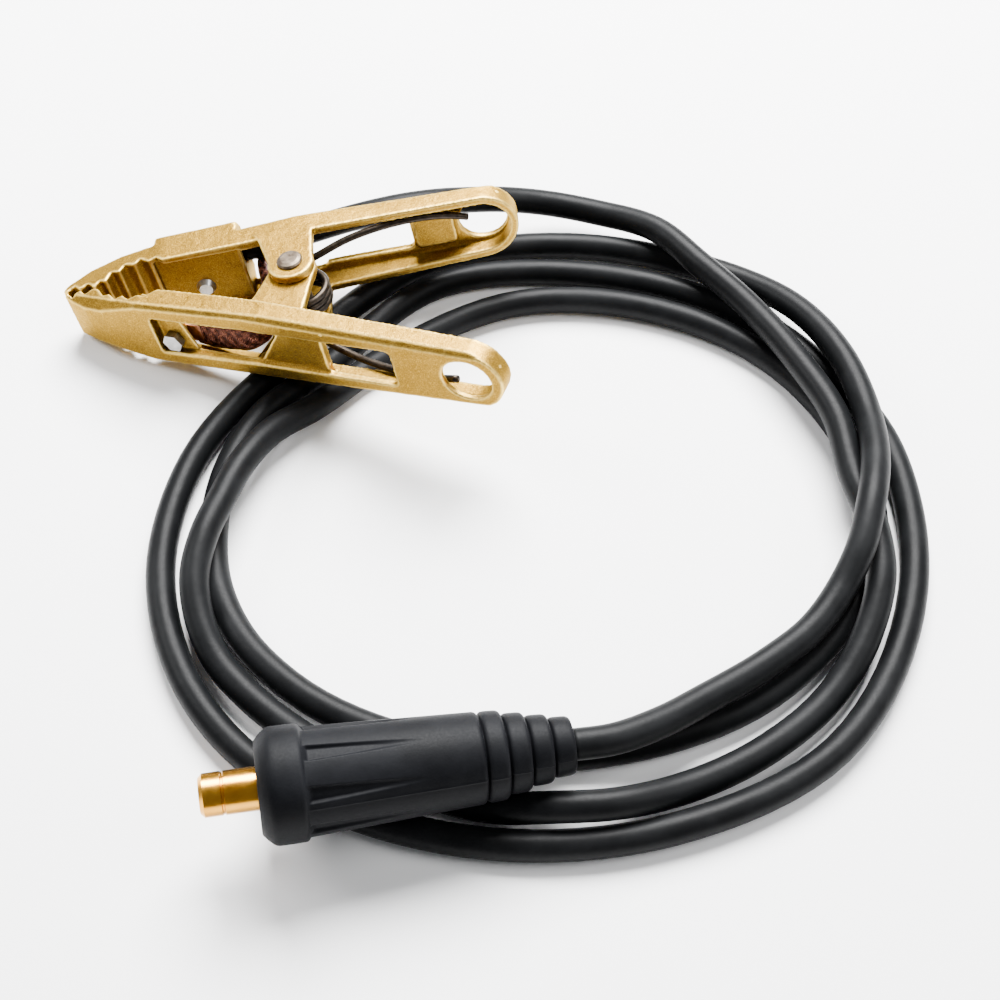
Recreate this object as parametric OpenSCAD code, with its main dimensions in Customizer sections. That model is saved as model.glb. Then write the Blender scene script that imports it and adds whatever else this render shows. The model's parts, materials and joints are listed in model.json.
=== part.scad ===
// Welding ground clamp: two cast brass jaws on a riveted pivot, a torsion spring,
// a copper bridging braid, a rubber welding lead and its bayonet plug.
// +Z up. The clamp lies on its side, tip down, with its handles resting on the lead.

/* [Jaws] */
// Width of the cable jaw along the pivot
cable_jaw_w = 32; // [30:0.5:34]
// Width of the swing jaw along the pivot
swing_jaw_w = 31; // [29:0.5:31]
// Distance from the pivot to the outer face of the cable jaw
cable_face = 27.5; // [27:0.5:28.5]
// Distance from the pivot to the outer face of the swing jaw
swing_face = 29.5; // [29:0.5:30.5]
// Width of the cable jaw's handle at its end
cable_end_w = 28; // [26:0.5:30]
// Width of the swing jaw's handle at its end
swing_end_w = 25.6; // [25:0.2:28]
// Thickness of the side flanges
flange_t = 3.2; // [2.8:0.1:3.6]
// Thickness of the web
web_t = 3; // [2.6:0.1:3.4]
// Length of the cable jaw's handle behind the pivot
cable_handle = 82.5; // [80:0.5:90]
// Length of the swing jaw's handle behind the pivot
swing_handle = 91; // [86:1:96]
// Angle of the cable jaw's handle from the clamp's long axis
cable_jaw_angle = 12.2; // [11:0.1:13]
// Angle of the swing jaw's handle from the clamp's long axis
swing_jaw_angle = 13; // [12:0.1:14]

/* [Pivot and spring] */
// Radius of the rivet shank
rivet_r = 3.9; // [3.5:0.1:4.2]
// Radius of the rivet heads
rivet_head_r = 4.7; // [4.4:0.1:5.2]
// Outer radius of the ears round the pivot
ear_r = 8.5; // [8:0.1:9]
// Radius of the spring wire
wire_r = 1.5; // [1.2:0.1:1.6]
// Mean radius of the spring coil
coil_r = 10; // [9.8:0.1:10.4]

/* [Lead] */
// Outer diameter of the welding lead
lead_d = 10; // [10:1:10]
// Radius of the stranded copper conductor
core_r = 2.9; // [2.6:0.1:3.2]
// Width of the copper braid
braid_w = 6; // [5:0.2:6]
// Thickness of the copper braid
braid_t = 2.8; // [2.4:0.2:3.2]

/* [Plug] */
// Radius of the contact pin
pin_r = 6.5; // [6.5:0.1:6.5]
// Length of pin in front of the sleeve
pin_len = 17; // [15:0.5:19]
// Radius of the sleeve's collar
collar_r = 17.5; // [16:0.5:18.5]
// Length of the rubber sleeve with its bellows
sleeve_len = 95; // [90:1:100]

/* [Hidden] */
$fn = 64;
gap = 0.05;                 // clearance between faces that only touch
BRASS = [0.80, 0.62, 0.26];
STEEL = [0.72, 0.72, 0.70];
SPRING_STEEL = [0.20, 0.19, 0.18];
COPPER = [0.55, 0.26, 0.18];
RUBBER = [0.07, 0.07, 0.08];

// Where the clamp lies: foot of the pivot axis, and the rise and roll of the lying clamp
PIVOT_FOOT = [5.6, 0.3, 10.55];
RISE = 10;
ROLL = -3.6;
MID = cable_jaw_w / 2;

// Pivot and jaws
bore_r = rivet_r + gap;
ear_t = 3.4;
swing_ear_top = MID - ear_t - 0.15;
boss_len = 2;
rivet_head_h = 1.6;
rivet_foot_h = 0.9;
loop_rim = 4.4;
edge_cut = 1.7;             // chamfer of the castings' outer edges
pad_cut = 5;                // chamfer of the pad's outer edges
window_half = 8.2;
cable_window_half = 10;
recess = 2;
bridge_y = 20.9;            // inner face of the set-in bridge that the lead lies over
SHOULDER = -50;

// The cable jaw's block: an inner wall, an outer pad and the tunnel of the lead between them
block_x0 = -53;
block_x1 = -21;
block_wall = 18.3;
pad_face = 33.5;
tunnel_r = lead_d / 2 + 0.25;
tunnel_y = 27;
tunnel_s = 4.5;
tunnel_tilt = 1.4;
lead_tail = -66;

// Bolts that hold the braid's lugs
bolt_r = 2;
bolt_hole_r = bolt_r + 0.1;
nut_af = 7;
nut_h = 3.2;
head_h = 2.8;
pan_r = 3.7;                // round head inside the cable jaw
pan_h = 1.9;
lug_t = 1.5;
bolt_s = -4.1;
braid_s = -4.7;
cable_bolt_x = -38;
swing_bolt_x = -40.5;
swing_boss_face = 23.5;

// Spring
coil_pitch = 2 * wire_r + 0.07;
leg_s = 1.5 * coil_pitch;
leg_r = wire_r - 0.05;
chamfer = 0.5;
cable_pad_end = 58.5;
swing_pad_end = 67;
rest_pad_t = 1;

// Lead: centre line from the tunnel's rear mouth, twice round the clamp, to the plug's tail
ROUTE = [
    [-23.7, 23.1, 24.4], [-16.1, 25.4, 25.4], [-8.5, 28.6, 26], [-0.5, 32.5, 27], [13, 39, 28.5],
    [34, 47.5, 30], [45.5, 54, 27.5], [56, 61.5, 22.5], [67.5, 68, 18], [84, 73, 13.5],
    [105.5, 72.5, 11.5], [129, 63, 15], [147, 46, 16], [167, 27, 15.5], [186, 2, 16],
    [199, -20, 16], [206, -46, 15], [213.5, -68, 15.5], [215.5, -85, 15], [211.5, -107, 10.5],
    [201, -128, 6], [182, -149, 5.5], [158, -166, 7], [136, -177, 12], [115.5, -181, 12],
    [103, -181, 7.5], [91, -180, 5], [68, -175, 5], [49, -170, 5], [31, -162, 5], [16, -153, 6],
    [3.5, -142.5, 7.5], [-5, -130, 10.5], [-10, -115, 14], [-10, -100, 16], [-8, -86, 15.5],
    [-5, -68, 13.5], [1.5, -50, 10], [13, -35, 6.5], [34, -8, 5], [81, 27, 5], [142, 28, 5],
    [173, 14, 5], [195, -7, 5], [211, -37, 5], [215, -65, 5], [210.5, -86, 5], [182, -129, 5],
    [130, -157, 5], [76, -162, 5], [28, -147, 5], [8, -131, 5], [-4, -113, 5], [-11, -89, 5],
    [-12, -66, 5], [-5, -39.5, 5], [11, -18, 5], [49, 32, 5], [110, 45, 5], [172, 29, 5],
    [198, 8, 5], [218, -19, 5], [227, -50, 5], [228, -84, 5], [204, -146, 5], [154, -180, 5],
    [99, -192, 5], [46, -185, 5], [22, -175, 5], [1, -158, 5], [-24, -112, 5], [-25, -63.5, 5],
    [0.5, -9, 5], [43, 43, 5], [104, 60, 5], [132, 58, 5], [159, 51, 6], [183, 34, 11.5],
    [201, 7, 16.5], [210, -20, 18.5], [212, -43, 23.5], [210, -65, 26], [207.5, -80, 23],
    [202.5, -93, 17.5], [194, -108, 15], [180, -123, 14.5], [161, -139, 15], [147, -151, 18],
    [132.4, -160.2, 20.7], [121.1, -163.9, 21.5]];
long_step = 40;
cable_sides = 10;

// Plug: place of the pin's tip, the heading and the fall towards the tail
PLUG_TIP = [15, -199, 29.3];
PLUG_YAW = 18.3;
PLUG_FALL = 4;
plug_len = pin_len + sleeve_len;
flange_x = pin_len + 3;
body_x = flange_x + 4;
body_end = body_x + 30;
contact_r = 8.5;
contact_flange_r = 9;
ferrule_r = 4.15;
grub_r = 2.5;
grub_x = [body_x + 13, body_x + 23];
ring_len = 7;
ring_count = 4;
bellows_x = plug_len - ring_count * ring_len;
groove_x = 6.4;             // turned line in front of the key
key_x = 10;
key_r = 1.9;
key_h = 2.2;
key_root = 3;

// ---- placing ----------------------------------------------------------------

module lay() translate(PIVOT_FOOT) rotate([ROLL, 0, 0]) rotate([0, -RISE, 0])
    translate([0, 0, MID]) children();

// Jaw frames: x along the handle away from the tip, y outwards from the pivot, z along the pivot
module in_cable_jaw() lay() rotate([0, 0, cable_jaw_angle]) children();
module in_swing_jaw() lay() mirror([0, 1, 0]) rotate([0, 0, swing_jaw_angle]) children();

module plan(height) linear_extrude(height, center = true) children();

// A profile drawn in x and z, extruded along y
module side(y0, y1) translate([0, y1, 0]) rotate([90, 0, 0]) linear_extrude(y1 - y0) children();

module bore(x, s, r, y0, y1) translate([x, y1, s]) rotate([90, 0, 0]) cylinder(r = r, h = y1 - y0);

module hex(af, h) cylinder(d = af / cos(30), h = h, $fn = 6);

// ---- jaws -------------------------------------------------------------------

// Side view of a jaw: a tapered nose, full width at the pivot and a round, narrower handle end
module jaw_side(tip_x, tip_half, half, end_x, end_half) {
    for (m = [0, 1]) mirror([0, m]) polygon([[tip_x, 0], [tip_x, tip_half], [SHOULDER, half - 0.8],
        [0, half], [end_x - end_half, end_half], [end_x - end_half, 0]]);
    translate([end_x - end_half, 0]) circle(end_half);
}

// Slot with straight sides and small corner radii
module rounded(x0, x1, half, r = 2) {
    translate([x0 + r, -half]) square([x1 - x0 - 2 * r, 2 * half]);
    translate([x0, -half + r]) square([x1 - x0, 2 * half - 2 * r]);
    for (x = [x0 + r, x1 - r], s = [-half + r, half - r]) translate([x, s]) circle(r);
}

// Slot with half-round ends
module slot(x0, x1, r) {
    translate([x0 + r, -r]) square([x1 - x0 - 2 * r, 2 * r]);
    for (x = [x0 + r, x1 - r]) translate([x, 0]) circle(r);
}

// Turning a point of the clamp's own frame into a jaw frame
function to_jaw(p, angle, flip) =
    let (y = flip * p[1]) [p[0] * cos(angle) + y * sin(angle), -p[0] * sin(angle) + y * cos(angle)];

// Teeth in the clamp's own frame with the pivot at 0,0: two flat teeth at the tip, whose peaks meet
// on the bite line, and then the steps of the gripping hollow
BITE_GAP = 0.08;
cable_teeth = [[-87, -6.72], [-84.6, -4.2], [-81.7, -6.3 + BITE_GAP], [-79.1, -3.6],
    [-76, -6.1 + BITE_GAP], [-74.5, -3], [-71.9, -3.6], [-70.9, 1], [-67.6, 0.6], [-66.1, 4],
    [-62.1, 3.4], [-60.3, 6.1], [-56.2, 4.1], [-53.7, 5.7], [-50.4, 3.9]];
swing_teeth = [[-87, -6.88], [-84.4, -9.1], [-81.7, -6.3 - BITE_GAP], [-79, -8.9],
    [-76, -6.1 - BITE_GAP], [-73.6, -7.2], [-70.4, -11.3], [-67.8, -10.9], [-64.6, -14.2],
    [-62, -12.6], [-58.8, -15.3], [-55.6, -13.3], [-52.9, -14.4], [-48.9, -11.4]];

module cable_jaw_plan() polygon(concat(
    [[-88.4, 12.6], [-86.6, 15.4], [-78, 20.3], [-66, 23.6], [-54, 24.4], [-20, 25.4],
     [-16, 24.8], [-8, 25.9], [14, cable_face], [cable_handle, cable_face - 0.5],
     [cable_handle, 19.2], [0, 16], [-19.5, 15], [-48.4, 14.6]],
    [for (i = [len(cable_teeth) - 1 : -1 : 0]) to_jaw(cable_teeth[i], cable_jaw_angle, 1)]));

module swing_jaw_plan() polygon(concat(
    [[-84, 27.6], [-80.4, 29], [-74, 30.8], [-66, 31.8], [-51, 31.5], [-6, swing_face + 0.2],
     [15, swing_face], [swing_handle, swing_face - 0.9], [swing_handle, 20.5], [-11, 20.3],
     [-38, 21.2], [-45.5, 21.8]],
    [for (i = [len(swing_teeth) - 1 : -1 : 0]) to_jaw(swing_teeth[i], swing_jaw_angle, -1)]));

module pad_plan() polygon([[block_x0, 24], [block_x0 + 1, 32.6], [-42, 33.1], [-32, pad_face],
                           [block_x1 - 2.5, pad_face], [block_x1, 32.6], [block_x1, 24.5]]);

// Hollow of a jaw between its flanges, behind x0 and short of the handle's end rim
module jaw_hollow(x0, half, end_x, end_half, face) side(0, face - web_t) {
    for (m = [0, 1]) mirror([0, m]) polygon([[x0, 0], [x0, half - flange_t - 0.8],
        [0, half - flange_t], [end_x - end_half, end_half - flange_t], [end_x - end_half, 0]]);
    translate([end_x - end_half, 0]) circle(end_half - flange_t);
}

// Chamfer c along a casting's outer edge from a to b, and along the same edge below
module edge_cuts(a, b, c) {
    d = b - a;
    for (m = [0, 1]) mirror([0, 0, m]) translate(a)
        rotate([0, -asin(d[2] / norm(d)), atan2(d[1], d[0])]) rotate([-45, 0, 0])
            translate([0, -9, -c / sqrt(2)]) cube([norm(d), 18, 9]);
}

module ear_pair(top, thick) for (m = [0, 1]) mirror([0, 0, m]) translate([0, 0, top - thick])
    linear_extrude(thick) children();

module tunnel(r, x0, x1) translate([block_x1, tunnel_y, tunnel_s]) rotate([0, 0, tunnel_tilt])
    translate([x0 - block_x1, 0, 0]) rotate([0, 90, 0]) cylinder(r = r, h = x1 - x0);

module cable_jaw() color(BRASS) in_cable_jaw() {
    half = cable_jaw_w / 2;
    inner = half - flange_t;
    difference() {
        union() {
            difference() {
                intersection() {
                    plan(cable_jaw_w) {
                        cable_jaw_plan();
                        pad_plan();
                    }
                    side(0, 40) jaw_side(-90, 10, half, cable_handle, cable_end_w / 2);
                }
                side(0, block_wall) translate([block_x0, -inner])
                    square([block_x1 - block_x0 + 1, 2 * inner]);
                jaw_hollow(block_x1, half, cable_handle, cable_end_w / 2, cable_face);
            }
            side(cable_face - web_t - rest_pad_t, cable_face - web_t + 0.5)
                rounded(43, cable_pad_end, window_half);
            side(bridge_y, cable_face - web_t + 0.5) translate([-5, -inner - 1])
                square([9, 2 * inner + 2]);
            ear_pair(half, ear_t) {
                circle(ear_r);
                polygon([[-14.5, 18.5], [-12.6, 15.6], [-8.4, 1.3], [0, 0], [8.5, 0], [8, 4],
                         [8, 18.8]]);
            }
        }
        side(20, 40) rounded(block_x1, -5, cable_window_half);
        side(bridge_y + web_t, 40) rounded(-6, 8, cable_window_half);
        side(15, 40) rounded(4, 42, window_half);
        side(10, 40) slot(61, cable_handle - loop_rim, 8.8);
        cylinder(r = bore_r, h = 2 * cable_jaw_w, center = true);
        tunnel(tunnel_r, -72, -15);
        bore(cable_bolt_x, bolt_s, bolt_hole_r, 10, 40);
        edge_cuts([block_x0, pad_face - 0.8, 15.2], [block_x1, pad_face, half - 0.3], pad_cut);
        edge_cuts([block_x1, 25.2, half - 0.3], [0, 26.6, half], edge_cut);
        edge_cuts([0, 26.8, half], [cable_handle, 27.2, cable_end_w / 2 - 0.3], edge_cut);
    }
}

module swing_jaw() color(BRASS) in_swing_jaw() {
    half = swing_jaw_w / 2;
    inner = half - flange_t;
    difference() {
        union() {
            difference() {
                intersection() {
                    plan(swing_jaw_w) swing_jaw_plan();
                    side(0, 40) jaw_side(-86, 10, half, swing_handle, swing_end_w / 2);
                }
                jaw_hollow(SHOULDER, half, swing_handle, swing_end_w / 2, swing_face);
            }
            side(swing_boss_face, swing_face - recess) {
                translate([-51, -inner - 1]) square([14.6, 2 * inner + 2]);
                translate([-7, -inner - 1]) square([29, 2 * inner + 2]);
            }
            side(swing_face - web_t - rest_pad_t, swing_face - web_t + 0.5)
                rounded(50.5, swing_pad_end, window_half);
            ear_pair(swing_ear_top, ear_t) {
                circle(ear_r);
                polygon([[-8.4, -1], [8.4, -1], [9.2, 3], [12.5, 16], [13.5, 26.8], [-9, 26.8],
                         [-8, 16]]);
            }
            ear_pair(swing_ear_top - ear_t, boss_len) circle(7.6);
        }
        side(swing_face - recess, 40) rounded(-45.5, 24, window_half, 1.5);
        side(15, 40) polygon([[-36, window_half - 0.4], [-31.5, -window_half + 0.4],
                              [-5, -window_half + 0.4], [5.5, window_half - 0.4]]);
        side(15, 40) rounded(22.5, 50, window_half);
        side(10, 40) slot(68.5, swing_handle - loop_rim, 8.6);
        cylinder(r = bore_r, h = 2 * swing_jaw_w, center = true);
        bore(swing_bolt_x, bolt_s, bolt_hole_r, 10, 40);
        edge_cuts([-84, 28, 10.5], [SHOULDER, 31.6, half - 0.8], edge_cut);
        edge_cuts([SHOULDER, 31.5, half - 0.8], [0, swing_face + 0.1, half], edge_cut);
        edge_cuts([0, swing_face, half], [swing_handle, 28.6, swing_end_w / 2 - 0.3], edge_cut);
    }
}

// ---- pivot and spring -------------------------------------------------------

module pivot_rivet() color(STEEL) lay() {
    cylinder(r = rivet_r, h = cable_jaw_w + 0.4, center = true);
    translate([0, 0, MID + 0.02]) rotate_extrude()
        polygon([[0, 0], [rivet_head_r, 0], [rivet_head_r, 0.7], [rivet_head_r - 0.5, 1.25],
                 [rivet_head_r - 1.6, rivet_head_h], [0, rivet_head_h]]);
    translate([0, 0, -MID - 0.02 - rivet_foot_h]) cylinder(r = rivet_head_r, h = rivet_foot_h);
}

// Two turns of the coil, and the straight leg that presses on the end of a handle's pad and ends
// in the handle's loop
module spring_half(s_dir, pad_end, pad_y, tip_x) {
    a = atan2(pad_y, pad_end) - asin((coil_r + wire_r + gap) / norm([pad_end, pad_y]));
    start = coil_r * [-sin(a), cos(a)];
    rotate_extrude() translate([coil_r, s_dir * coil_pitch]) for (m = [0, 1]) mirror([m, 0])
        polygon([[0, -coil_pitch + gap], [wire_r - chamfer, -coil_pitch + gap],
                 [wire_r, -coil_pitch + gap + chamfer], [wire_r, coil_pitch - chamfer],
                 [wire_r - chamfer, coil_pitch], [0, coil_pitch]]);
    translate([start[0], start[1], s_dir * leg_s]) rotate([0, 0, a]) rotate([0, 90, 0])
        cylinder(r = leg_r, h = (tip_x - start[0]) / cos(a));
}

module spring_fixed_half() color(SPRING_STEEL) in_cable_jaw()
    spring_half(1, cable_pad_end, cable_face - web_t - rest_pad_t, 64);

module spring_moving_half() color(SPRING_STEEL) in_swing_jaw()
    spring_half(-1, swing_pad_end, swing_face - web_t - rest_pad_t, 72);

// ---- bridging braid ---------------------------------------------------------

// Flat strip of thickness t whose centre line follows plan points p
function strip_side(p, t, side_dir) = [for (i = [0 : len(p) - 1])
    let (a = p[max(i - 1, 0)], b = p[min(i + 1, len(p) - 1)], d = (b - a) / norm(b - a))
        p[i] + side_dir * t / 2 * [-d[1], d[0]]];
function reversed(v) = [for (i = [len(v) - 1 : -1 : 0]) v[i]];
module strip(p, t) polygon(concat(strip_side(p, t, 1), reversed(strip_side(p, t, -1))));

BRAID_MEET = [-16.3, -1];
braid_outer = [[-31, 35.1], [-25, 35.3], [-18, 35], [-14, 32.4], [-13, 28], [-13.6, 22]];
braid_inner = [[-31, 22], [-25, 22.2], [-18, 22.6], [-11, 21.6], [-7.6, 18], [-8, 14.2]];

module braid_cable_half() color(COPPER) lay() translate([0, 0, braid_s]) plan(braid_w)
    strip(concat([for (p = braid_outer) [p[0] * cos(cable_jaw_angle) - p[1] * sin(cable_jaw_angle),
                                         p[0] * sin(cable_jaw_angle) + p[1] * cos(cable_jaw_angle)]],
                 [[-16.6, 10], BRAID_MEET + [0, 0.1]]), braid_t);

module braid_swing_half() color(COPPER) lay() translate([0, 0, braid_s]) plan(braid_w)
    strip(concat([for (p = braid_inner) [p[0] * cos(swing_jaw_angle) - p[1] * sin(swing_jaw_angle),
                                         -p[0] * sin(swing_jaw_angle) - p[1] * cos(swing_jaw_angle)]],
                 [[-15, -9], BRAID_MEET - [0, 0.1]]), braid_t);

// Flat lug with a bolt hole; its barrel end grips the braid at x_braid
module lug(x_bolt, x_braid, y0) difference() {
    union() {
        translate([x_bolt, y0 + lug_t, bolt_s]) rotate([90, 0, 0]) cylinder(r = 4.6, h = lug_t);
        translate([x_bolt, y0, bolt_s - 4]) cube([x_braid - x_bolt - gap, lug_t, 8]);
    }
    bore(x_bolt, bolt_s, bolt_hole_r, y0 - 1, y0 + lug_t + 1);
}

module braid_lug_cable() color(COPPER) in_cable_jaw() lug(cable_bolt_x, -31.4, pad_face + gap);

module braid_lug_swing() color(COPPER) in_swing_jaw()
    lug(swing_bolt_x, -31.2, swing_boss_face - lug_t - gap);

// Hexagon bolt along y: the head's inner face at y_head, shank towards y_end
module hex_bolt(x, y_head, y_end) {
    dir = y_end > y_head ? 1 : -1;
    translate([x, y_head, bolt_s]) rotate([-90 * dir, 0, 0]) {
        translate([0, 0, -head_h]) hex(nut_af, head_h);
        cylinder(r = bolt_r, h = abs(y_end - y_head));
    }
}

module hex_nut(x, y0) difference() {
    translate([x, y0, bolt_s]) rotate([-90, 0, 0]) hex(nut_af, nut_h);
    bore(x, bolt_s, bolt_r + gap, y0 - 1, y0 + nut_h + 1);
}

// Bolt with a low round head, from its seat at y0 to its tip at y1
module pan_bolt(x, y0, y1) translate([x, y0, bolt_s]) rotate([-90, 0, 0]) {
    translate([0, 0, -pan_h]) cylinder(r1 = pan_r - 1.2, r2 = pan_r, h = pan_h);
    cylinder(r = bolt_r, h = y1 - y0);
}

module cable_side_bolt() color(STEEL) in_cable_jaw()
    pan_bolt(cable_bolt_x, block_wall - gap, pad_face + lug_t + nut_h + 1.5);
module cable_side_nut() color(STEEL) in_cable_jaw()
    hex_nut(cable_bolt_x, pad_face + lug_t + 2 * gap);
module swing_side_bolt() color(STEEL) in_swing_jaw()
    hex_bolt(swing_bolt_x, swing_face - recess + gap, swing_boss_face - lug_t - nut_h - 1.5);
module swing_side_nut() color(STEEL) in_swing_jaw()
    hex_nut(swing_bolt_x, swing_boss_face - lug_t - nut_h - 2 * gap);

// ---- lead -------------------------------------------------------------------

module lead_end_sheath() color(RUBBER) in_cable_jaw() difference() {
    tunnel(lead_d / 2, lead_tail, block_x1);
    tunnel(core_r + gap, lead_tail - 1, block_x1 - 2);
}
module lead_end_core() color(COPPER) in_cable_jaw() tunnel(core_r, lead_tail - 1.2, block_x1 - 2.1);

// Step from route point i to the next, the route's heading at i, and the point midway after i
LAST = len(ROUTE) - 1;
function step(i) = norm(ROUTE[i + 1] - ROUTE[i]);
function heading(i) =
    i == 0 ? (ROUTE[1] - ROUTE[0]) / step(0) :
    i == LAST ? (ROUTE[LAST] - ROUTE[LAST - 1]) / step(LAST - 1) :
    ((ROUTE[i] - ROUTE[i - 1]) * step(i) / step(i - 1)
     + (ROUTE[i + 1] - ROUTE[i]) * step(i - 1) / step(i)) / (step(i - 1) + step(i));
function midway(i) = (ROUTE[i] + ROUTE[i + 1]) / 2 + step(i) / 8 * (heading(i) - heading(i + 1));

// Closed tube along path p: a ring of corners round every point, and a cap on each end
function ring(p, i, r, sides) = let (
    d = p[min(i + 1, len(p) - 1)] - p[max(i - 1, 0)],
    across = cross(d, [0, 0, 1]) / norm(cross(d, [0, 0, 1])),
    up = cross(across, d) / norm(d))
    [for (k = [0 : sides - 1]) let (a = 360 * k / sides) p[i] + r * (cos(a) * across + sin(a) * up)];

module tube(p, r, sides) {
    last = len(p) - 1;
    polyhedron(
        points = [for (i = [0 : last]) each ring(p, i, r, sides)],
        faces = concat(
            [[for (k = [0 : sides - 1]) k]],
            [for (i = [0 : last - 1], k = [0 : sides - 1]) let (n = (k + 1) % sides)
                [i * sides + k, (i + 1) * sides + k, (i + 1) * sides + n, i * sides + n]],
            [[for (k = [sides - 1 : -1 : 0]) last * sides + k]]));
}

module cable() color(RUBBER) tube(
    [for (i = [0 : LAST]) each i < LAST && step(i) > long_step ? [ROUTE[i], midway(i)] : [ROUTE[i]]],
    lead_d / 2, cable_sides);

// ---- plug -------------------------------------------------------------------

// Plug frame: x from the pin's tip to the tail
module in_plug() translate(PLUG_TIP) rotate([0, PLUG_FALL, PLUG_YAW]) children();
module turned() rotate([0, 90, 0]) rotate_extrude() children();
module round_bar(r, x0, x1) translate([x0, 0, 0]) rotate([0, 90, 0]) cylinder(r = r, h = x1 - x0);

// Radii of the sleeve's tail: crest i of the bellows and the groove behind it
function crest(i) = 13.8 - 1.5 * i;
function groove(i) = 10.6 - 1.3 * i;

module plug_sleeve() color(RUBBER) in_plug() difference() {
    turned() polygon(concat(
        [[0, pin_len], [collar_r - 3, pin_len], [collar_r, pin_len + 3], [collar_r, pin_len + 13.5],
         [collar_r - 0.5, pin_len + 14], [16.3, pin_len + 14], [13.9, bellows_x - 1]],
        [for (i = [0 : ring_count - 1]) each let (x = bellows_x + i * ring_len)
            [[groove(i), x], [crest(i), x + 1.6], [crest(i), x + 4.8]]],
        [[6.6, plug_len], [0, plug_len]]));
    round_bar(pin_r + gap, pin_len - 1, flange_x + 1);
    round_bar(contact_flange_r + gap, flange_x - gap, body_x + gap);
    round_bar(contact_r + gap, body_x, body_end + gap);
    round_bar(lead_d / 2 + gap, body_end, plug_len + 1);
}

module plug_contact() color(BRASS) in_plug() difference() {
    turned() polygon([[0, 0], [pin_r - 1.2, 0], [pin_r, 1.2], [pin_r, groove_x],
                      [pin_r - 0.3, groove_x + 0.3], [pin_r - 0.3, groove_x + 0.7],
                      [pin_r, groove_x + 1], [pin_r, flange_x],
                      [contact_flange_r, flange_x], [contact_flange_r, body_x],
                      [contact_r, body_x], [contact_r, body_end], [0, body_end]]);
    round_bar(ferrule_r + gap, body_x + 6, body_end + 1);
    for (x = grub_x) translate([x, 0, 0]) cylinder(r = grub_r + gap, h = contact_r + 1);
    translate([key_x, 0, -pin_r - 1]) cylinder(r = key_r + gap, h = key_root + 1);
}

module plug_ferrule() color(COPPER) in_plug() difference() {
    round_bar(ferrule_r, body_x + 6.5, body_end);
    round_bar(core_r + gap, body_x + 5, body_end + 1);
}

module plug_grub_screws() color(STEEL) in_plug() for (x = grub_x) translate([x, 0, ferrule_r + gap])
    difference() {
        cylinder(r = grub_r, h = 3.9);
        translate([0, 0, 1.9]) cylinder(d = 2.5 / cos(30), h = 3, $fn = 6);
    }

// Bayonet key under the pin
module plug_key() color(BRASS) in_plug() translate([key_x, 0, -pin_r - key_h])
    cylinder(r = key_r, h = key_h + key_root - gap);

module plug_lead_end() color(RUBBER) in_plug() difference() {
    round_bar(lead_d / 2, body_end + 2 * gap, plug_len);
    round_bar(core_r + gap, body_end - 1, plug_len - 2);
}
module plug_lead_core() color(COPPER) in_plug() round_bar(core_r, body_x + 6.5, plug_len - 2 - gap);

cable_jaw();
swing_jaw();
pivot_rivet();
spring_fixed_half();
spring_moving_half();
braid_cable_half();
braid_swing_half();
braid_lug_cable();
braid_lug_swing();
cable_side_bolt();
cable_side_nut();
swing_side_bolt();
swing_side_nut();
lead_end_sheath();
lead_end_core();
cable();
plug_sleeve();
plug_contact();
plug_ferrule();
plug_grub_screws();
plug_key();
plug_lead_end();
plug_lead_core();
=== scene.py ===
"""Welding ground clamp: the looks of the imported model, in the CAD frame and in metres."""
import json
import math

import bpy
from mathutils import Matrix, Vector


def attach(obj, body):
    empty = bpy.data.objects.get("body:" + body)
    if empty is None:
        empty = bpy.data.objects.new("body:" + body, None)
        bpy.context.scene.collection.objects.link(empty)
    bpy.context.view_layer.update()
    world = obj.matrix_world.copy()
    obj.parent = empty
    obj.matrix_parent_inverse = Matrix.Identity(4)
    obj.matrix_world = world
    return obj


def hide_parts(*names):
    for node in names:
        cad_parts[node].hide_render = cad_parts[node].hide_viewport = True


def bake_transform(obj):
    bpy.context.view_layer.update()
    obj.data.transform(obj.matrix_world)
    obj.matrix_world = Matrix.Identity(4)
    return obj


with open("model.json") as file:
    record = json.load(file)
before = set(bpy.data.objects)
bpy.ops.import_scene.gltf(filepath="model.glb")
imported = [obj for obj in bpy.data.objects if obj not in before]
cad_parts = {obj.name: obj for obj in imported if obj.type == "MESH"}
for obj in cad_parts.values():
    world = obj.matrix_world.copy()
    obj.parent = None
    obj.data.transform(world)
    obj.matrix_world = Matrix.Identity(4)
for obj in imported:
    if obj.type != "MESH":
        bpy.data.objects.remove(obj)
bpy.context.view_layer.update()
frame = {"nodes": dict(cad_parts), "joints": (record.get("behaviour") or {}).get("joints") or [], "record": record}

# A millimetre in the frame's metres. The clamp's plans, the plug, the spring and the braid are laid
# out in mm; the camera, the lead, the materials, the castings' skin and the room are in metres.
MM = 0.001
ROOT = "cable_side"

# ---- camera ------------------------------------------------------------------

# The camera looks down 55 degrees, turned a little to the left of the frame's +Y
CAMERA_PLACE = (0.1284, -0.3787, 0.4565)
CAMERA_TURN = (35.0, 0.0, 7.8)
CAMERA_LENS = 56.77
CAMERA_SENSOR = 36.0


def make_camera():
    data = bpy.data.cameras.new("camera")
    data.lens = CAMERA_LENS
    data.sensor_width = CAMERA_SENSOR
    data.clip_start = 0.01
    camera = bpy.data.objects.new("camera", data)
    camera.location = CAMERA_PLACE
    camera.rotation_euler = [math.radians(a) for a in CAMERA_TURN]
    bpy.context.scene.collection.objects.link(camera)
    bpy.context.scene.camera = camera


make_camera()

# ---- frames of the clamp and the plug ------------------------------------------

# How far each jaw's own x axis is turned from the clamp's middle line, in degrees
CABLE_JAW_ANGLE = 12.2
SWING_JAW_ANGLE = 13.0


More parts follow.
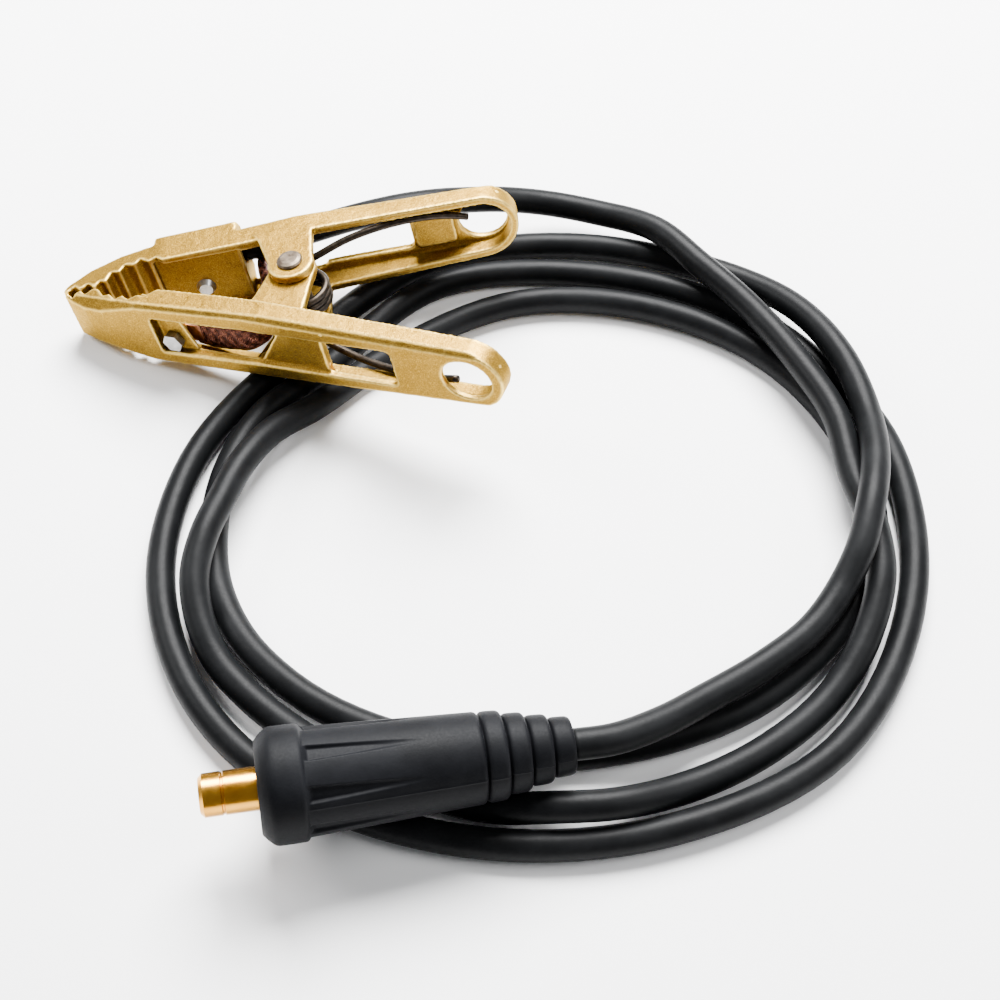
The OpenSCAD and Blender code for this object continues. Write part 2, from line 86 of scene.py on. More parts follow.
def clamp_frame():
    """Origin at the middle of the pivot, z along it, x towards the handles."""
    joint = frame["joints"][0]
    axis = Vector(joint["axis"])
    rise = math.asin(-axis.x)
    roll = math.atan2(-axis.y, axis.z)
    turn = Matrix.Rotation(roll, 4, "X") @ Matrix.Rotation(-rise, 4, "Y")
    return Matrix.Translation(joint["pos_m"]) @ turn


CLAMP = clamp_frame()


def plan_point(jaw, x, y):
    """A point of a jaw's plan, in mm, as x and y of the clamp's plan."""
    flip = 1 if jaw == "cable" else -1
    angle = math.radians(CABLE_JAW_ANGLE if jaw == "cable" else SWING_JAW_ANGLE)
    return Vector((x * math.cos(angle) - y * math.sin(angle),
                   flip * (x * math.sin(angle) + y * math.cos(angle))))


def clamp_point(xy, s):
    """A point of the clamp's plan at height s along the pivot, in mm, in the frame in metres."""
    return CLAMP @ Vector((xy[0] * MM, xy[1] * MM, s * MM))


# From the pin's tip to the plug_pin mount
PIN_MOUNT = 3.8


def plug_frame():
    """Origin at the pin's tip, z towards the tail."""
    mount = next(m for m in frame["record"]["mounts"] if m["name"] == "plug_pin")
    back = -Vector(mount["axis"])
    tip = Vector(mount["pos_m"]) - back * PIN_MOUNT * MM
    return Matrix.Translation(tip) @ back.to_track_quat("Z", "Y").to_matrix().to_4x4()


PLUG = plug_frame()

# ---- mesh helpers ---------------------------------------------------------------


def catmull(points, steps):
    """Smooth curve through points, each step weighted by its length."""
    pts = [Vector(p) for p in points]
    last = len(pts) - 1
    gaps = [(pts[i + 1] - pts[i]).length for i in range(last)]
    heads = []
    for i in range(last + 1):
        if i == 0:
            heads.append((pts[1] - pts[0]) / gaps[0])
        elif i == last:
            heads.append((pts[last] - pts[last - 1]) / gaps[-1])
        else:
            before = (pts[i] - pts[i - 1]) / gaps[i - 1]
            after = (pts[i + 1] - pts[i]) / gaps[i]
            heads.append((before * gaps[i] + after * gaps[i - 1]) / (gaps[i - 1] + gaps[i]))
    curve = []
    for i in range(last):
        for k in range(steps):
            t = k / steps
            curve.append((2 * t ** 3 - 3 * t ** 2 + 1) * pts[i]
                         + (t ** 3 - 2 * t ** 2 + t) * gaps[i] * heads[i]
                         + (3 * t ** 2 - 2 * t ** 3) * pts[i + 1]
                         + (t ** 3 - t ** 2) * gaps[i] * heads[i + 1])
    curve.append(pts[last])
    return curve


def link_mesh(name, verts, faces, uvs=None):
    """Mesh object with smooth faces; uvs holds one pair for each corner, face by face."""
    mesh = bpy.data.meshes.new(name)
    mesh.from_pydata([tuple(v) for v in verts], [], faces)
    if uvs:
        layer = mesh.uv_layers.new(name="UVMap")
        for k, pair in enumerate(uvs):
            layer.data[k].uv = pair
    mesh.polygons.foreach_set("use_smooth", [True] * len(mesh.polygons))
    mesh.update()
    obj = bpy.data.objects.new(name, mesh)
    bpy.context.scene.collection.objects.link(obj)
    return obj


def sweep(name, path, outline, fixed=None):
    """Closed solid along path. outline(i) gives the section's corners at point i as (across, up).

    fixed is the up direction of every section; without it the section turns as little as it can."""
    verts, faces, uvs = [], [], []
    last = len(path) - 1
    up = None
    run = 0.0
    runs = []
    for i, p in enumerate(path):
        ahead = (path[min(i + 1, last)] - path[max(i - 1, 0)]).normalized()
        if fixed is not None:
            across = ahead.cross(fixed).normalized()
        elif up is None:
            across = ahead.orthogonal().normalized()
        else:
            across = ahead.cross(up).normalized()
        up = across.cross(ahead).normalized()
        run += (p - path[i - 1]).length if i else 0.0
        runs.append(run)
        for a, b in outline(i):
            verts.append(p + across * a + up * b)
    n = len(outline(0))
    for i in range(last):
        for k in range(n):
            beside = (k + 1) % n
            faces.append((i * n + k, i * n + beside, (i + 1) * n + beside, (i + 1) * n + k))
            uvs += [(runs[i], k / n), (runs[i], (k + 1) / n),
                    (runs[i + 1], (k + 1) / n), (runs[i + 1], k / n)]
    for ring in (list(range(n - 1, -1, -1)), list(range(last * n, last * n + n))):
        faces.append(tuple(ring))
        uvs += [(0.0, 0.0)] * n
    return link_mesh(name, verts, faces, uvs)


def circle_outline(radius, sides):
    """The same round section at every point of a sweep."""
    ring = [(radius * math.cos(2 * math.pi * k / sides), radius * math.sin(2 * math.pi * k / sides))
            for k in range(sides)]
    return lambda i: ring


def lathe(name, profile, segments, wobble, place):
    """Surface turned about z from (radius, height) pairs, then moved by place.

    wobble(r, h, angle) gives the radius that replaces r."""
    verts, faces = [], []
    for r, h in profile:
        for k in range(segments):
            a = 2 * math.pi * k / segments
            radius = wobble(r, h, a)
            verts.append(place @ (Vector((radius * math.cos(a), radius * math.sin(a), h)) * MM))
    for i in range(len(profile) - 1):
        for k in range(segments):
            beside = (k + 1) % segments
            faces.append((i * segments + k, i * segments + beside,
                          (i + 1) * segments + beside, (i + 1) * segments + k))
    return link_mesh(name, verts, faces)


# ---- materials --------------------------------------------------------------------


class Shader:
    """A node material with small helpers, so that each material reads as a recipe."""

    def __init__(self, name):
        self.mat = bpy.data.materials.new(name)
        self.mat.use_nodes = True
        self.nodes = self.mat.node_tree.nodes
        self.links = self.mat.node_tree.links
        self.bsdf = self.nodes["Principled BSDF"]
        self.coords = self.nodes.new("ShaderNodeTexCoord")

    def set(self, **values):
        for key, value in values.items():
            self.bsdf.inputs[key.replace("_", " ")].default_value = value

    def link(self, a, b):
        self.links.new(a, b)

    def noise(self, scale, detail, roughness=0.55, distortion=0.0):
        node = self.nodes.new("ShaderNodeTexNoise")
        node.inputs["Scale"].default_value = scale
        node.inputs["Detail"].default_value = detail
        node.inputs["Roughness"].default_value = roughness
        node.inputs["Distortion"].default_value = distortion
        self.link(self.coords.outputs["Object"], node.inputs["Vector"])
        return node.outputs["Fac"]

    def ramp(self, factor, stops):
        node = self.nodes.new("ShaderNodeValToRGB")
        elements = node.color_ramp.elements
        while len(elements) < len(stops):
            elements.new(0.5)
        for element, (place, colour) in zip(elements, stops):
            element.position = place
            element.color = (*colour, 1.0)
        self.link(factor, node.inputs["Fac"])
        return node.outputs["Color"]

    def mix(self, factor, a, b):
        node = self.nodes.new("ShaderNodeMix")
        node.data_type = "RGBA"
        if hasattr(factor, "links"):
            self.link(factor, node.inputs["Factor"])
        else:
            node.inputs["Factor"].default_value = factor
        for value, socket in ((a, node.inputs["A"]), (b, node.inputs["B"])):
            if hasattr(value, "links"):
                self.link(value, socket)
            else:
                socket.default_value = (*value, 1.0)
        return node.outputs["Result"]

    def math(self, operation, a, b=0.0):
        """A Math node; b is left alone by an operation with one input."""
        node = self.nodes.new("ShaderNodeMath")
        node.operation = operation
        for value, socket in ((a, node.inputs[0]), (b, node.inputs[1])):
            if hasattr(value, "links"):
                self.link(value, socket)
            else:
                socket.default_value = value
        return node.outputs["Value"]

    def range(self, value, low, high, to_low, to_high):
        node = self.nodes.new("ShaderNodeMapRange")
        self.link(value, node.inputs["Value"])
        for key, number in (("From Min", low), ("From Max", high),
                            ("To Min", to_low), ("To Max", to_high)):
            node.inputs[key].default_value = number
        return node.outputs["Result"]

    def pointiness(self):
        return self.nodes.new("ShaderNodeNewGeometry").outputs["Pointiness"]

    def colour(self, socket):
        self.link(socket, self.bsdf.inputs["Base Color"])

    def rough(self, socket):
        self.link(socket, self.bsdf.inputs["Roughness"])

    def bump(self, heights):
        """heights is a list of (height socket, strength, distance in metres), coarse first."""
        normal = None
        for height, strength, distance in heights:
            node = self.nodes.new("ShaderNodeBump")
            node.inputs["Strength"].default_value = strength
            node.inputs["Distance"].default_value = distance
            self.link(height, node.inputs["Height"])
            if normal is not None:
                self.link(normal, node.inputs["Normal"])
            normal = node.outputs["Normal"]
        self.link(normal, self.bsdf.inputs["Normal"])


def cast_brass():
    """Sand-cast brass: fine grain, painted shade in the hollows, and edges made bright partly by rubbing and
    partly by a painted highlight.
    """
    m = Shader("cast_brass")
    m.set(Metallic=1.0, Roughness=0.4)
    m.set(Specular_Tint=(1.0, 0.86, 0.55, 1.0))
    broad = m.noise(45.0, 5.0, 0.6)
    grain = m.noise(2600.0, 3.0, 0.6)
    pits = m.noise(900.0, 4.0, 0.65)
    base = m.ramp(broad, [(0.3, (0.14, 0.072, 0.009)), (0.52, (0.235, 0.132, 0.017)),
                          (0.75, (0.33, 0.195, 0.03))])
    speckle = m.ramp(grain, [(0.35, (0.07, 0.031, 0.003)), (0.5, (0.25, 0.132, 0.012)),
                             (0.68, (0.72, 0.45, 0.07))])
    skin = m.mix(0.45, base, speckle)
    # Convex edges turn bright yellow brass: partly rubbed wear, partly a painted highlight along the ridges.
    edge_wear_and_highlight_mask = m.range(m.pointiness(), 0.503, 0.535, 0.0, 1.0)
    # Concave places are darkened to dark brown: a painted shade in the hollows.
    painted_hollow_shade_mask = m.range(m.pointiness(), 0.49, 0.42, 0.0, 1.0)
    skin_with_wear_and_highlight = m.mix(m.math("MULTIPLY", edge_wear_and_highlight_mask, 0.8), skin, (0.90, 0.64, 0.17))
    # Mixes the painted hollow shade into the skin's colour.
    m.colour(m.mix(m.math("MULTIPLY", painted_hollow_shade_mask, 0.7), skin_with_wear_and_highlight, (0.06, 0.028, 0.006)))
    m.rough(m.range(m.mix(0.5, grain, pits), 0.3, 0.7, 0.34, 0.58))
    m.bump([(m.noise(140.0, 4.0, 0.6), 0.35, 0.0007), (pits, 0.5, 0.00022), (grain, 0.5, 0.00009)])
    return m.mat


def turned_brass():
    """Polished brass, faintly scratched."""
    m = Shader("turned_brass")
    m.set(Metallic=1.0, Roughness=0.2)
    tone = m.noise(60.0, 3.0, 0.5)
    m.colour(m.ramp(tone, [(0.3, (0.52, 0.21, 0.014)), (0.6, (0.74, 0.37, 0.04)),
                           (0.8, (0.84, 0.50, 0.09))]))
    scratches = m.noise(700.0, 5.0, 0.7, distortion=0.4)
    m.rough(m.range(scratches, 0.3, 0.7, 0.17, 0.27))
    m.bump([(scratches, 0.03, 0.00005)])
    return m.mat


def steel(name, low, high, rough_low, rough_high, bump=0.3):
    """Dull steel, mottled between two tones."""
    m = Shader(name)
    m.set(Metallic=1.0)
    mottle = m.noise(380.0, 5.0, 0.65)
    m.colour(m.ramp(mottle, [(0.32, low), (0.68, high)]))
    fine = m.noise(2200.0, 3.0, 0.6)
    m.rough(m.range(m.mix(0.5, mottle, fine), 0.3, 0.7, rough_low, rough_high))
    m.bump([(mottle, bump, 0.0003), (fine, bump, 0.00006)])
    return m.mat


WEAVE_PITCH = 0.0042
WEAVE_AROUND = 7


def copper_braid():
    """Flat woven strap: two families of strands that pass over and under each other.

    The weave repeats each WEAVE_PITCH metres along the strap and WEAVE_AROUND times round it."""
    m = Shader("copper_braid")
    m.set(Metallic=0.85, Roughness=0.42)
    split = m.nodes.new("ShaderNodeSeparateXYZ")
    m.link(m.coords.outputs["UV"], split.inputs["Vector"])
    along = m.math("MULTIPLY", split.outputs["X"], 2 * math.pi / WEAVE_PITCH)
    around = m.math("MULTIPLY", split.outputs["Y"], 2 * math.pi * WEAVE_AROUND)
    left = m.math("ADD", along, around)
    right = m.math("SUBTRACT", along, around)
    over = m.math("GREATER_THAN", m.math("MULTIPLY", m.math("SINE", left), m.math("SINE", right)), 0.0)
    strands_left = m.math("ABSOLUTE", m.math("SINE", m.math("MULTIPLY", left, 2.5)))
    strands_right = m.math("ABSOLUTE", m.math("SINE", m.math("MULTIPLY", right, 2.5)))
    band_left = m.math("ABSOLUTE", m.math("COSINE", m.math("MULTIPLY", right, 0.5)))
    band_right = m.math("ABSOLUTE", m.math("COSINE", m.math("MULTIPLY", left, 0.5)))
    height_left = m.math("MULTIPLY", strands_left, band_left)
    height_right = m.math("MULTIPLY", strands_right, band_right)
    pick = m.nodes.new("ShaderNodeMix")
    pick.data_type = "FLOAT"
    m.link(over, pick.inputs["Factor"])
    m.link(height_left, pick.inputs["A"])
    m.link(height_right, pick.inputs["B"])
    height = pick.outputs["Result"]
    tone = m.noise(500.0, 4.0, 0.6)
    # The weave's low places between the strands go nearly black, a painted shade; the strands' tops keep the
    # copper's own colour.
    strand_with_crevice_shade = m.ramp(height, [(0.1, (0.02, 0.006, 0.004)), (0.55, (0.16, 0.045, 0.024)),
                             (0.95, (0.50, 0.19, 0.11))])
    m.colour(m.mix(m.math("MULTIPLY", tone, 0.5), strand_with_crevice_shade, (0.10, 0.032, 0.022)))
    m.bump([(height, 0.9, 0.0004)])
    return m.mat


def copper_plate():
    """Dull copper, mottled, for the lugs, the ferrule and the conductor's ends."""
    m = Shader("copper_plate")
    m.set(Metallic=1.0)
    tone = m.noise(260.0, 5.0, 0.6)
    m.colour(m.ramp(tone, [(0.3, (0.30, 0.12, 0.07)), (0.7, (0.66, 0.32, 0.20))]))
    m.rough(m.range(tone, 0.3, 0.7, 0.3, 0.55))
    m.bump([(tone, 0.3, 0.0002)])
    return m.mat


def rubber(name, tone, rough_low, rough_high, grain, lumps):
    """Black rubber with a fine grain, faint lumps and a little dust."""
    m = Shader(name)
    m.set(Specular_IOR_Level=0.06)
    dust = m.noise(30.0, 5.0, 0.65)
    fine = m.noise(1500.0, 4.0, 0.6)
    lighter = tuple(c * 2.1 + 0.002 for c in tone)
    m.colour(m.mix(m.range(dust, 0.45, 0.75, 0.0, 0.8), tone, lighter))
    m.rough(m.range(m.mix(0.5, dust, fine), 0.3, 0.7, rough_low, rough_high))
    m.bump([(m.noise(110.0, 3.0, 0.5), lumps, 0.0006), (fine, grain, 0.00008)])
    return m.mat


def pale_floor():
    """Pale matt floor with a very faint change of tone."""
    m = Shader("pale_floor")
    m.set(Roughness=0.75, Specular_IOR_Level=0.2)
    m.colour(m.ramp(m.noise(3.0, 2.0), [(0.3, (0.86, 0.86, 0.865)), (0.7, (0.90, 0.90, 0.905))]))
    return m.mat


BRASS = cast_brass()
TURNED = turned_brass()
RIVET = steel("rivet_steel", (0.05, 0.036, 0.026), (0.17, 0.135, 0.10), 0.36, 0.55)
SPRING = steel("spring_steel", (0.014, 0.011, 0.009), (0.045, 0.036, 0.028), 0.34, 0.5, 0.15)
ZINC = steel("zinc_steel", (0.42, 0.42, 0.42), (0.68, 0.67, 0.65), 0.26, 0.42)
BRAID = copper_braid()
COPPER = copper_plate()
LEAD_RUBBER = rubber("lead_rubber", (0.0026, 0.0028, 0.0031), 0.36, 0.54, 0.25, 0.35)
SLEEVE_RUBBER = rubber("sleeve_rubber", (0.0022, 0.0024, 0.0031), 0.46, 0.64, 0.45, 0.25)


def paint(obj, material):
    """Gives a piece its one material."""
    obj.data.materials.clear()
    obj.data.materials.append(material)
    return obj


# ---- lead -------------------------------------------------------------------------

# The lead's diameter and centre line, in metres: out of the clamp's tunnel, round the loose coil,
# which passes under the clamp three times, and up to the plug's tail
LEAD_D = 0.010
LEAD_SIDES = 28
LEAD_STEPS = 8
ROUTE = [
    (-0.0237, 0.0231, 0.0244), (-0.0161, 0.0254, 0.0254), (-0.0085, 0.0286, 0.026),
    (-0.0005, 0.0325, 0.027), (0.013, 0.039, 0.0285), (0.034, 0.0475, 0.03),
    (0.0455, 0.054, 0.0275), (0.056, 0.0615, 0.0225), (0.0675, 0.068, 0.018),
    (0.084, 0.073, 0.0135), (0.1055, 0.0725, 0.0115), (0.129, 0.063, 0.015), (0.147, 0.046, 0.016),
    (0.167, 0.027, 0.0155), (0.186, 0.002, 0.016), (0.199, -0.02, 0.016), (0.206, -0.046, 0.015),
    (0.2135, -0.068, 0.0155), (0.2155, -0.085, 0.015), (0.2115, -0.107, 0.0105),
    (0.201, -0.128, 0.006), (0.182, -0.149, 0.0055), (0.158, -0.166, 0.007),
    (0.136, -0.177, 0.012), (0.1155, -0.181, 0.012), (0.103, -0.181, 0.0075),
    (0.091, -0.18, 0.005), (0.068, -0.175, 0.005), (0.049, -0.17, 0.005), (0.031, -0.162, 0.005),
    (0.016, -0.153, 0.006), (0.0035, -0.1425, 0.0075), (-0.005, -0.13, 0.0105),
    (-0.01, -0.115, 0.014), (-0.01, -0.1, 0.016), (-0.008, -0.086, 0.0155),
    (-0.005, -0.068, 0.0135), (0.0015, -0.05, 0.01), (0.013, -0.035, 0.0065),
    (0.034, -0.008, 0.005), (0.081, 0.027, 0.005), (0.142, 0.028, 0.005), (0.173, 0.014, 0.005),
    (0.195, -0.007, 0.005), (0.211, -0.037, 0.005), (0.215, -0.065, 0.005),
    (0.2105, -0.086, 0.005), (0.182, -0.129, 0.005), (0.13, -0.157, 0.005), (0.076, -0.162, 0.005),
    (0.028, -0.147, 0.005), (0.008, -0.131, 0.005), (-0.004, -0.113, 0.005),
    (-0.011, -0.089, 0.005), (-0.012, -0.066, 0.005), (-0.005, -0.0395, 0.005),
    (0.011, -0.018, 0.005), (0.049, 0.032, 0.005), (0.11, 0.045, 0.005), (0.172, 0.029, 0.005),
    (0.198, 0.008, 0.005), (0.218, -0.019, 0.005), (0.227, -0.05, 0.005), (0.228, -0.084, 0.005),
    (0.204, -0.146, 0.005), (0.154, -0.18, 0.005), (0.099, -0.192, 0.005), (0.046, -0.185, 0.005),
    (0.022, -0.175, 0.005), (0.001, -0.158, 0.005), (-0.024, -0.112, 0.005),
    (-0.025, -0.0635, 0.005), (0.0005, -0.009, 0.005), (0.043, 0.043, 0.005), (0.104, 0.06, 0.005),
    (0.132, 0.058, 0.005), (0.159, 0.051, 0.006), (0.183, 0.034, 0.0115), (0.201, 0.007, 0.0165),
    (0.21, -0.02, 0.0185), (0.212, -0.043, 0.0235), (0.21, -0.065, 0.026), (0.2075, -0.08, 0.023),
    (0.2025, -0.093, 0.0175), (0.194, -0.108, 0.015), (0.18, -0.123, 0.0145),
    (0.161, -0.139, 0.015), (0.147, -0.151, 0.018), (0.1324, -0.1602, 0.0207),
    (0.1211, -0.1639, 0.0215),
]


def make_lead(sleeve):
    """The lead along ROUTE; its lowest stretches rest on the floor instead of dipping into it."""
    path = [Vector((p.x, p.y, max(p.z, LEAD_D / 2))) for p in catmull(ROUTE, LEAD_STEPS)]
    lead = sweep("lead", path, circle_outline(LEAD_D / 2, LEAD_SIDES))
    paint(lead, LEAD_RUBBER)
    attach(lead, ROOT)
    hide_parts("cable")


# ---- plug -------------------------------------------------------------------------

SLEEVE_SIDES = 360
# Heights from the pin's tip: where the sleeve, its grip, its plain body and its bellows start
PIN_LEN = 17.0
GRIP_START = 31.0
BODY_START = 32
BELLOWS_START = 84.0
BODY_R = 16.2
BODY_TAPER = 2.3 / 51.0
RINGS = 4
RING_LEN = 7.0
RING_STEPS = 20
# Radius at the top of the first ring and of the groove beside it, and what each next ring loses
CREST_R = 13.8
CREST_STEP = 1.5
GROOVE_R = 10.6
GROOVE_STEP = 1.3
FLUTES = 8
FLUTE_LEN = 36.0
FLUTE_DEPTH = 1.25
# Where the flutes and the two seams stand round the sleeve, in radians
FLUTE_TURN = 0.6
SEAM_ANGLE = 2.55
SEAM_HEIGHT = 0.22
SEAM_HALF_WIDTH = 0.35
SEAM_SPAN = (31.5, 110.0)


def crest(i):
    """Radius of bellows ring i at its top."""
    return CREST_R - CREST_STEP * i


def groove(i):
    """Radius of the grooves beside bellows ring i."""
    return GROOVE_R - GROOVE_STEP * i


def smooth_step(x):
    """0 below 0, 1 above 1 and an even S between."""
    x = min(max(x, 0.0), 1.0)
    return x * x * (3 - 2 * x)


def ring_radius(i, u):
    """Radius of bellows ring i at u from 0 to 1 along it: nearly flat, with narrow grooves beside."""
    swell = (1 - abs(2 * u - 1) ** 5) ** (1 / 3)
    return groove(i) + (crest(i) - groove(i) - 0.35 * u) * swell


def sleeve_profile():
    """Radius and height pairs of the sleeve, from the lip round the pin to the tail."""
    front = [(6.7, 24.0), (6.7, 18.2), (7.0, 17.4), (7.6, PIN_LEN), (13.4, PIN_LEN), (13.9, 17.15)]
    collar = [(15.4, 18.5), (16.7, 19.9), (17.2, 20.7), (17.45, 21.6), (17.5, 23.0), (17.5, 26.0),
              (17.45, 29.2), (17.3, 30.0), (16.9, 30.5), (16.5, 30.7), (16.25, 31.0), (16.2, 31.6)]
    body = [(BODY_R - BODY_TAPER * k / 2, BODY_START + k / 2) for k in range(102)]
    body += [(13.75, 83.1), (13.4, 83.6), (12.4, 83.9)]
    rings = [(ring_radius(i, k / RING_STEPS), BELLOWS_START + (i + k / RING_STEPS) * RING_LEN)
             for i in range(RINGS) for k in range(RING_STEPS)]
    end = [(6.5, 111.8), (5.6, 112.0), (5.05, 111.8), (5.05, 108.0)]
    return front + collar + body + rings + end


def sleeve_wobble(r, h, angle):
    """Grip flutes that start deep at the collar and run out to a point, and two mould seams."""
    run_out = min(max((h - GRIP_START) / FLUTE_LEN, 0.0), 1.0)
    start = smooth_step((h - GRIP_START) / 1.2)
    ridge = math.cos(angle * FLUTES + FLUTE_TURN) - (0.25 + 0.75 * run_out)
    flute = min(1.0, max(0.0, ridge) * 4.0)
    turn = (angle - SEAM_ANGLE) % math.pi
    seam = 0.0
    if SEAM_SPAN[0] < h < SEAM_SPAN[1]:
        seam = max(0.0, 1.0 - min(turn, math.pi - turn) * r / SEAM_HALF_WIDTH)
    return r - FLUTE_DEPTH * start * (1 - 0.75 * run_out) * flute + SEAM_HEIGHT * seam


def make_sleeve():
    obj = lathe("plug_sleeve_rubber", sleeve_profile(), SLEEVE_SIDES, sleeve_wobble, PLUG)
    paint(obj, SLEEVE_RUBBER)
    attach(obj, ROOT)
    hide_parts("plug_sleeve")
    return obj


make_lead(make_sleeve())

# ---- spring and braid ---------------------------------------------------------------

COIL_R = 10.0
COIL_TURNS = 4
COIL_STEPS = 150
WIRE_R = 1.36
WIRE_SIDES = 18
LEG_STEPS = 7
# Height of the coil's ends and the legs along the pivot, and how far each leg's line passes from the coil's axis
LEG_S = 4.605
LEG_OFFSET = COIL_R + 1.55
# Where each handle's pad ends and how far each leg reaches, in the jaw's own plan
PAD_END = {"cable": (58.5, 23.5), "swing": (67.0, 25.5)}
LEG_TIP = {"cable": 64.0, "swing": 72.0}


def leg_angle(jaw):
    """Slope of a leg from the coil to the end of the handle's pad, in the jaw's frame."""
    x, y = PAD_END[jaw]
    return math.atan2(y, x) - math.asin(LEG_OFFSET / math.hypot(x, y))


# Share of the leg's length, its bow along the pivot and its bow outwards
LEG_KNOTS = {
    "cable": [(0.0, 0.0, 0.0), (0.12, 1.6, 0.0), (0.33, 4.9, 0.3), (0.6, 5.4, 0.4), (0.84, 3.0, 0.0),
              (0.94, 0.4, 0.0), (1.0, -1.6, 0.0)],
    "swing": [(0.0, 0.0, 0.0), (0.12, 1.4, 0.0), (0.3, 4.2, 1.0), (0.62, 4.6, 1.6), (0.86, 3.0, 0.2),
              (1.0, -0.6, 0.0)],
}


def leg_path(jaw, side):
    """Points of a leg from the coil to its tip; it bows away from the coil's middle plane."""
    a = leg_angle(jaw)
    start = (-COIL_R * math.sin(a), COIL_R * math.cos(a))
    run = (LEG_TIP[jaw] - start[0]) / math.cos(a)
    points = []
    for share, bow, out in LEG_KNOTS[jaw]:
        x = start[0] + share * run * math.cos(a) - out * math.sin(a)
        y = start[1] + share * run * math.sin(a) + out * math.cos(a)
        points.append(clamp_point(plan_point(jaw, x, y), side * (LEG_S + bow)))
    return catmull(points, LEG_STEPS)


def make_spring():
    """One wire: the far jaw's leg, the coil and the near jaw's leg."""
    start = math.radians(CABLE_JAW_ANGLE + 90) + leg_angle("cable")
    stop = -math.radians(SWING_JAW_ANGLE + 90) - leg_angle("swing") + COIL_TURNS * 2 * math.pi
    coil = []
    for k in range(1, COIL_STEPS):
        f = k / COIL_STEPS
        angle = start + (stop - start) * f
        coil.append(clamp_point((COIL_R * math.cos(angle), COIL_R * math.sin(angle)),
                                LEG_S * (1 - 2 * f)))
    path = leg_path("cable", 1)[::-1] + coil + leg_path("swing", -1)
    spring = sweep("torsion_spring", path, circle_outline(WIRE_R * MM, WIRE_SIDES))
    paint(spring, SPRING)
    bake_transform(spring)
    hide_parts("spring_fixed_half", "spring_moving_half")


# The strap's middle line in the plans: in the far jaw, across the pivot's front and in the near jaw
BRAID_OUTER = [(-32.5, 35.4), (-25, 35.6), (-19.5, 35), (-16.4, 32.2), (-15.6, 28), (-15.6, 22)]
BRAID_ACROSS = [(-16.6, 10), (-16.3, -1), (-15, -9)]
BRAID_INNER = [(-8, 14.2), (-7.6, 18), (-11, 21.6), (-18, 22.6), (-26, 22.2), (-35, 21.4)]
BRAID_SIDES = 36
BRAID_STEPS = 9
# Share of the strap's length, its middle along the pivot, its width and its thickness
BRAID_SHAPE = [
    (0.0, -4.3, 7.4, 3.0), (0.12, -4.9, 7.6, 2.9), (0.24, -5.2, 9.0, 4.6), (0.34, -5.0, 9.4, 4.8),
    (0.46, -4.8, 9.0, 3.8), (0.62, -3.4, 8.6, 3.2), (0.72, -3.0, 9.4, 3.0), (0.84, -3.6, 12.2, 2.9),
    (0.95, -4.4, 13.4, 2.9), (1.0, -4.4, 13.0, 2.9),
]


def braid_shape(f):
    """Middle, width and thickness of the strap at share f of its length."""
    for a, b in zip(BRAID_SHAPE, BRAID_SHAPE[1:]):
        if f <= b[0]:
            t = smooth_step((f - a[0]) / (b[0] - a[0]))
            return [u + (v - u) * t for u, v in zip(a[1:], b[1:])]
    return BRAID_SHAPE[-1][1:]


def make_braid():
    """One strap from the far jaw's bolt to the near jaw's, with a soft oblong section."""
    plan = [plan_point("cable", *p) for p in BRAID_OUTER]
    plan += [Vector(p) for p in BRAID_ACROSS]
    plan += [plan_point("swing", *p) for p in BRAID_INNER]
    path = catmull([clamp_point(p, 0.0) for p in plan], BRAID_STEPS)
    last = len(path) - 1

    def outline(i):
        middle, width, thick = braid_shape(i / last)
        thick += 0.2 * math.sin(i * 0.8)
        ring = []
        for k in range(BRAID_SIDES):
            a = 2 * math.pi * k / BRAID_SIDES
            c, s = math.cos(a), math.sin(a)
            ring.append((math.copysign(abs(c) ** 0.6, c) * thick / 2 * MM,
                         (math.copysign(abs(s) ** 0.8, s) * width / 2 + middle) * MM))
        return ring

    up = (CLAMP.to_3x3() @ Vector((0, 0, 1))).normalized()
    braid = sweep("bridging_braid", path, outline, fixed=up)
    paint(braid, BRAID)
    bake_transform(braid)
    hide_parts("braid_cable_half", "braid_swing_half")


make_spring()
make_braid()

# ---- CAD nodes that are shown ------------------------------------------------------------


# Mesh size, smoothing passes and lumps of the castings' skin, in metres
CAST_VOXEL = 0.00042
CAST_TURNS = 12
CAST_LUMPS = 0.00025
CAST_LUMP_SIZE = 0.006


def soften(name):
    """Turns a sharp CAD casting into a cast skin: even mesh, rounded edges and faint lumps."""
    obj = frame["nodes"][name]
    remesh = obj.modifiers.new("even", "REMESH")
    remesh.mode = "VOXEL"
    remesh.voxel_size = CAST_VOXEL
    remesh.use_smooth_shade = True
    smooth = obj.modifiers.new("round", "SMOOTH")
    smooth.factor = 0.5
    smooth.iterations = CAST_TURNS
    texture = bpy.data.textures.new(name + "_lumps", "CLOUDS")
    texture.noise_scale = CAST_LUMP_SIZE
    texture.noise_depth = 2
    displace = obj.modifiers.new("lumps", "DISPLACE")
    displace.texture = texture
    displace.strength = CAST_LUMPS
    displace.mid_level = 0.5
    paint(obj, BRASS)


# Bevel on the machined nodes' edges: width in metres and least angle in degrees
EDGE_BREAK = 0.00025
EDGE_SEGMENTS = 3
EDGE_ANGLE = 35.0


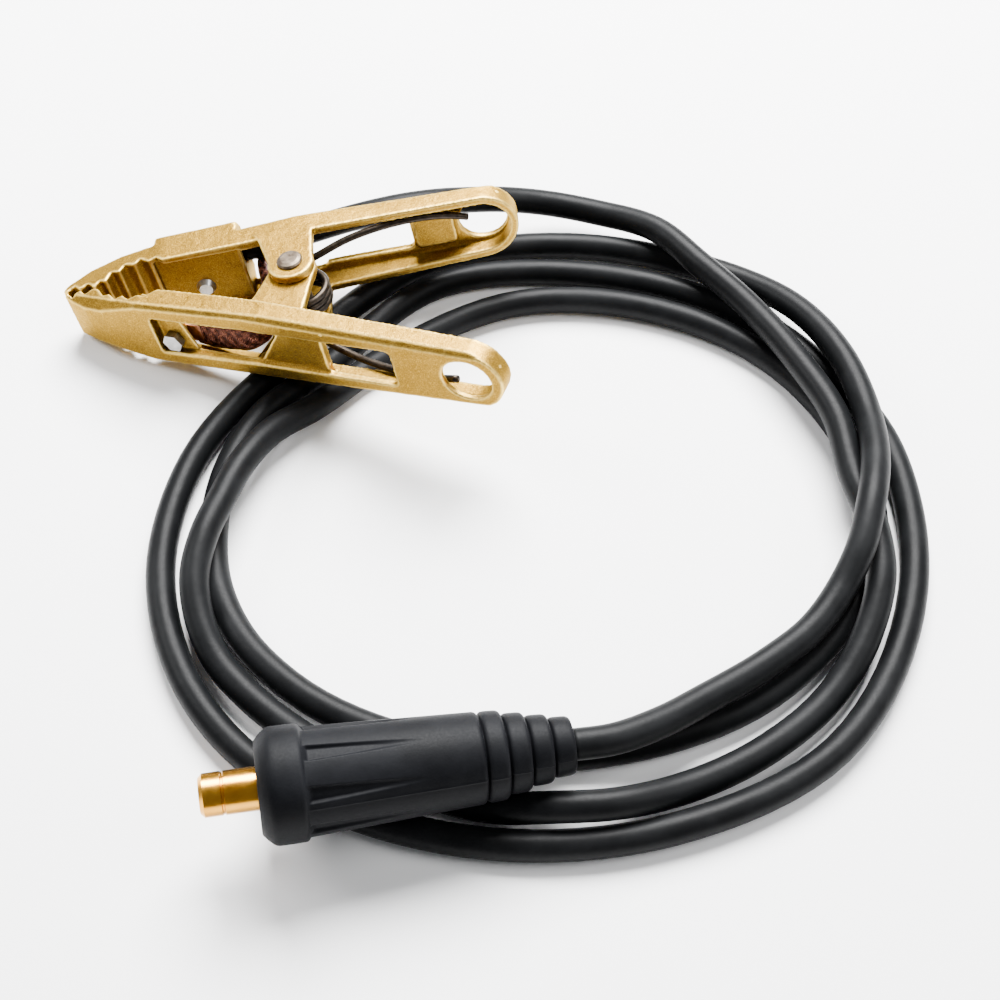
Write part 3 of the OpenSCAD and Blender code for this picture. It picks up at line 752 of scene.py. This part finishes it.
def crisp(name, material):
    """Keeps a machined CAD node and breaks its edges."""
    obj = frame["nodes"][name]
    bevel = obj.modifiers.new("edges", "BEVEL")
    bevel.width = EDGE_BREAK
    bevel.segments = EDGE_SEGMENTS
    bevel.limit_method = "ANGLE"
    bevel.angle_limit = math.radians(EDGE_ANGLE)
    bevel.harden_normals = True
    paint(obj, material)


for casting in ("cable_jaw", "swing_jaw"):
    soften(casting)

MACHINED = {
    "pivot_rivet": RIVET,
    "cable_side_bolt": ZINC, "cable_side_nut": ZINC, "swing_side_bolt": ZINC, "swing_side_nut": ZINC,
    "braid_lug_cable": COPPER, "braid_lug_swing": COPPER,
    "plug_contact": TURNED, "plug_key": TURNED,
    "plug_ferrule": COPPER, "plug_grub_screws": ZINC, "plug_lead_core": COPPER,
    "lead_end_core": COPPER,
    "lead_end_sheath": LEAD_RUBBER, "plug_lead_end": LEAD_RUBBER,
}
for node_name, node_material in MACHINED.items():
    crisp(node_name, node_material)

# ---- floor and light ---------------------------------------------------------------------


FLOOR_REACH = 3.0
MIDDLE = (0.07, -0.06, 0.0)


def make_floor():
    reach = FLOOR_REACH
    corners = [(-reach, -reach, 0), (reach, -reach, 0), (reach, reach, 0), (-reach, reach, 0)]
    floor = link_mesh("floor", [Vector(c) for c in corners], [(0, 1, 2, 3)])
    paint(floor, pale_floor())


def area_light(name, place, size, power):
    """Round light that faces the middle of the object; its size is in metres, its power in watts."""
    data = bpy.data.lights.new(name, "AREA")
    data.shape = "DISK"
    data.size = size
    data.energy = power
    light = bpy.data.objects.new(name, data)
    light.location = place
    light.rotation_euler = (Vector(MIDDLE) - Vector(place)).to_track_quat("-Z", "Y").to_euler()
    bpy.context.scene.collection.objects.link(light)


def make_world():
    world = bpy.data.worlds.new("studio")
    world.use_nodes = True
    background = world.node_tree.nodes["Background"]
    background.inputs["Color"].default_value = (0.95, 0.97, 1.0, 1.0)
    background.inputs["Strength"].default_value = 0.26
    bpy.context.scene.world = world


make_floor()
make_world()
area_light("top", (0.1, 0.7, 1.0), 0.9, 150.0)
area_light("left", (-0.9, 0.1, 0.8), 0.5, 14.0)
area_light("right", (0.9, -0.1, 0.9), 0.7, 10.0)
